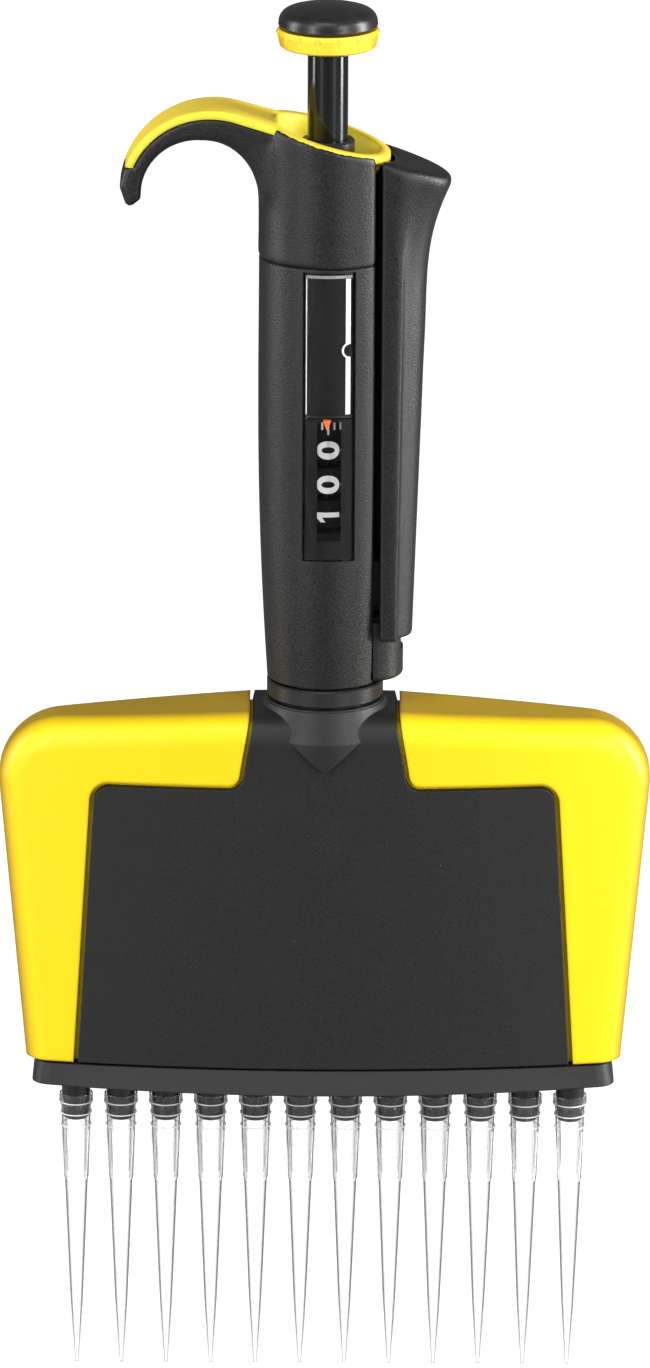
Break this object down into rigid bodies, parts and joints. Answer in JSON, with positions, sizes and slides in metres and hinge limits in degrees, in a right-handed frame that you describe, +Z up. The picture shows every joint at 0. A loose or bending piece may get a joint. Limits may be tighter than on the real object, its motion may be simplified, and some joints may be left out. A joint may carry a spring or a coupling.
{
  "type": "multichannel pipette",
  "caption": "Hand-held multichannel pipette with a swivel head, a row of clear tips, a thumb plunger with a volume dial, a finger hook and a side tip ejector.",
  "frame": {"origin": "on the plunger axis, in the plane of the tip ends", "axes": "+Z up along the plunger, -Y to the display side, -X to the finger hook, +X to the ejector; the channels stand in a row along X"},
  "size_m": [0.1292, 0.0308, 0.2814],
  "materials": {
    "grip_black": "fine texture",
    "cover_black": "fine texture",
    "satin_black": "satin",
    "gloss_black": "polished",
    "yellow": "satin",
    "window_clear": "polished",
    "label_dark": "satin",
    "pointer_red": "satin",
    "drum_black": "satin",
    "tip_clear": "translucent",
    "steel": "ground",
    "spring_steel": "drawn wire",
    "brass": "turned",
    "natural_plastic": "natural",
    "seal_rubber": "smooth"
  },
  "bodies": {
    "handle": {"handle_grip": "grip_black", "upper_housing": "grip_black", "finger_rest_inlay": "yellow", "plunger_guide": "satin_black", "joining_ring": "satin_black", "display_window": "window_clear", "label_cover": "window_clear", "label_card": "label_dark", "counter_mask": "label_dark", "counter_frame": "satin_black", "lower_bearing": "satin_black", "upper_bearing": "satin_black", "nut_guide_posts": "steel", "washer_keeper": "satin_black", "neck_spigot": "natural_plastic", "spring_seat": "steel", "swivel_ring": "satin_black", "retaining_ring": "steel", "return_spring": "spring_steel", "blowout_spring": "spring_steel", "ejector_foot": "grip_black", "ejector_spring": "spring_steel"},
    "plunger": {"push_rod": "steel", "stop_collar": "brass"},
    "dial": {"knob_cap": "satin_black", "dial_ring": "yellow", "plunger_tube": "gloss_black"},
    "units": {"units_drum": "drum_black", "counter_spindle": "satin_black"},
    "tens": {"tens_drum": "drum_black"},
    "hundreds": {"hundreds_drum": "drum_black"},
    "pinion_tens": {"carry_pinion_tens": "drum_black"},
    "pinion_hundreds": {"carry_pinion_hundreds": "drum_black"},
    "volume_stop": {"stop_nut": "brass"},
    "first_stop": {"blowout_washer": "steel"},
    "ejector": {"ejector_button": "grip_black", "ejector_bracket": "steel", "ejector_link": "steel"},
    "head": {"head_front_cover": "cover_black", "head_rear_cover": "cover_black", "side_cover_left": "yellow", "side_cover_right": "yellow", "head_screws": "steel", "cylinder_deck": "natural_plastic", "tip_cones": "satin_black", "piston_seals": "seal_rubber", "seal_retainer": "natural_plastic", "guide_rods": "steel", "carriage_springs": "spring_steel"},
    "carriage": {"piston_bar": "natural_plastic", "pistons": "steel", "push_pad": "brass"},
    "comb": {"ejector_comb": "cover_black", "ejector_yoke": "satin_black", "comb_rods": "steel"},
    "tip_row": {"tips": "tip_clear"}
  },
  "joints": [
    {"name": "plunger_press", "type": "slide", "parent": "handle", "child": "plunger", "axis": [0, 0, -1], "range_m": [0, 0.0165], "deforming": ["return_spring"]},
    {"name": "volume_dial", "type": "hinge", "parent": "plunger", "child": "dial", "pos_m": [0, 0, 0.2746], "axis": [0, 0, 1], "range_deg": [-3240, 0]},
    {"name": "units_drum_spin", "type": "hinge", "parent": "handle", "child": "units", "pos_m": [0, 0, 0.196], "axis": [0, 0, 1], "range_deg": [-3240, 0]},
    {"name": "tens_drum_spin", "type": "hinge", "parent": "handle", "child": "tens", "pos_m": [0, 0, 0.187], "axis": [0, 0, 1], "range_deg": [-324, 0]},
    {"name": "hundreds_drum_spin", "type": "hinge", "parent": "handle", "child": "hundreds", "pos_m": [0, 0, 0.1804], "axis": [0, 0, 1], "range_deg": [-32.4, 0]},
    {"name": "tens_pinion_spin", "type": "hinge", "parent": "handle", "child": "pinion_tens", "pos_m": [0, 0.007, 0.1905], "axis": [0, 0, 1], "range_deg": [0, 810]},
    {"name": "hundreds_pinion_spin", "type": "hinge", "parent": "handle", "child": "pinion_hundreds", "pos_m": [0, 0.007, 0.1839], "axis": [0, 0, 1], "range_deg": [0, 81]},
    {"name": "volume_stop_travel", "type": "slide", "parent": "handle", "child": "volume_stop", "axis": [0, 0, 1], "range_m": [-0.01215, 0]},
    {"name": "first_stop_travel", "type": "slide", "parent": "handle", "child": "first_stop", "axis": [0, 0, -1], "range_m": [0, 0.003], "deforming": ["blowout_spring"]},
    {"name": "ejector_press", "type": "slide", "parent": "handle", "child": "ejector", "axis": [0, 0, -1], "range_m": [0, 0.007], "deforming": ["ejector_spring"]},
    {"name": "head_swivel", "type": "hinge", "parent": "handle", "child": "head", "pos_m": [0, 0, 0.134], "axis": [0, 0, 1], "continuous": true},
    {"name": "piston_stroke", "type": "slide", "parent": "head", "child": "carriage", "axis": [0, 0, -1], "range_m": [0, 0.0165], "deforming": ["carriage_springs"]},
    {"name": "comb_slide", "type": "slide", "parent": "head", "child": "comb", "axis": [0, 0, -1], "range_m": [0, 0.007]},
    {"name": "tips_drop", "type": "slide", "parent": "head", "child": "tip_row", "axis": [0, 0, -1], "range_m": [0, 0.012]}
  ],
  "couplings": [
    {"joint": "units_drum_spin", "follows": "volume_dial", "ratio": 1},
    {"joint": "tens_drum_spin", "follows": "volume_dial", "ratio": 0.1},
    {"joint": "hundreds_drum_spin", "follows": "volume_dial", "ratio": 0.01},
    {"joint": "tens_pinion_spin", "follows": "volume_dial", "ratio": -0.25},
    {"joint": "hundreds_pinion_spin", "follows": "volume_dial", "ratio": -0.025},
    {"joint": "volume_stop_travel", "follows": "volume_dial", "m_per_rad": 0.00021486},
    {"joint": "first_stop_travel", "follows": "plunger_press", "ratio": 0.18182},
    {"joint": "piston_stroke", "follows": "plunger_press", "ratio": 1},
    {"joint": "comb_slide", "follows": "ejector_press", "ratio": 1},
    {"joint": "tips_drop", "follows": "ejector_press", "ratio": 1.7143}
  ]
}
